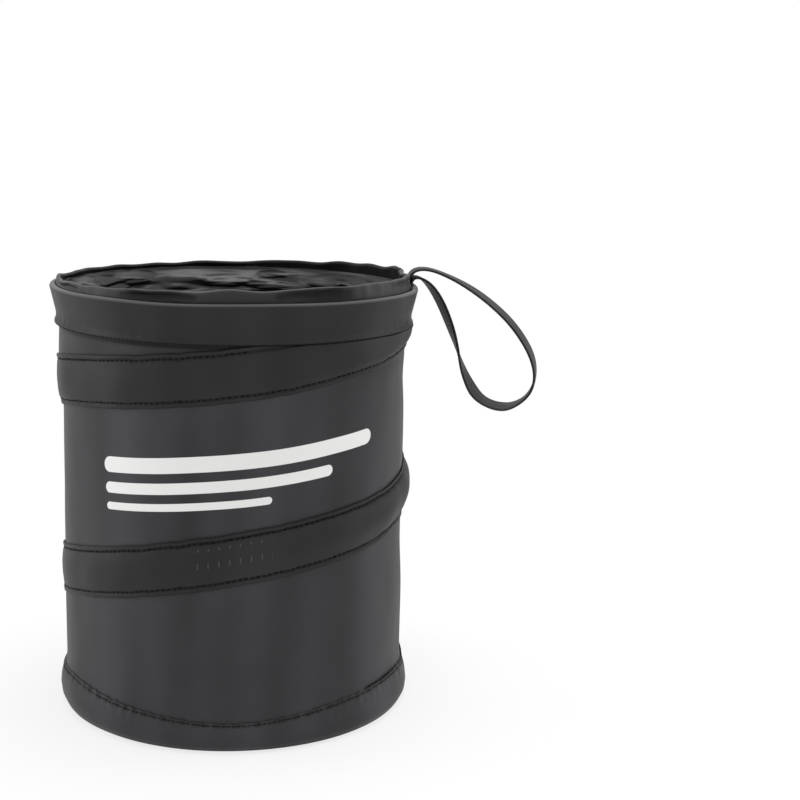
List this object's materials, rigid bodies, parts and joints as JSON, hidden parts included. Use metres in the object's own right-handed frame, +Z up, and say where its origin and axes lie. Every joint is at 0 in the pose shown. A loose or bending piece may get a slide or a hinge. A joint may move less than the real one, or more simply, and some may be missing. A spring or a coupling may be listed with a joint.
{
  "type": "car trash bin",
  "caption": "Round collapsible cloth bin on a coiled spring, with a flared rim, a gathered liner and a strap loop to hang it by.",
  "frame": {"origin": "centre of the base, on the plane that the bin stands on", "axes": "+Z up through the mouth, -Y the front, +X towards the hang loop"},
  "size_m": [0.2325, 0.1716, 0.2084],
  "materials": {
    "shell_cloth": "satin coated cloth",
    "liner_cloth": "satin",
    "strap_webbing": "matte",
    "spring_steel": "bare"
  },
  "bodies": {
    "base": {"base_disc": "shell_cloth", "outer_wall": "shell_cloth", "bottom_band": "shell_cloth", "spring": "spring_steel", "spring_sleeve": "shell_cloth", "liner_floor": "liner_cloth", "liner": "liner_cloth"},
    "rim": {"rim_band": "shell_cloth", "liner_hem": "liner_cloth", "hang_loop": "strap_webbing"}
  },
  "joints": [
    {"name": "collapse", "type": "slide", "parent": "base", "child": "rim", "axis": [0, 0, 1], "range_m": [-0.15, 0], "stiffness_N_per_m": 5, "springref_m": 0.1, "deforming": ["outer_wall", "spring_sleeve", "spring", "liner"]}
  ]
}
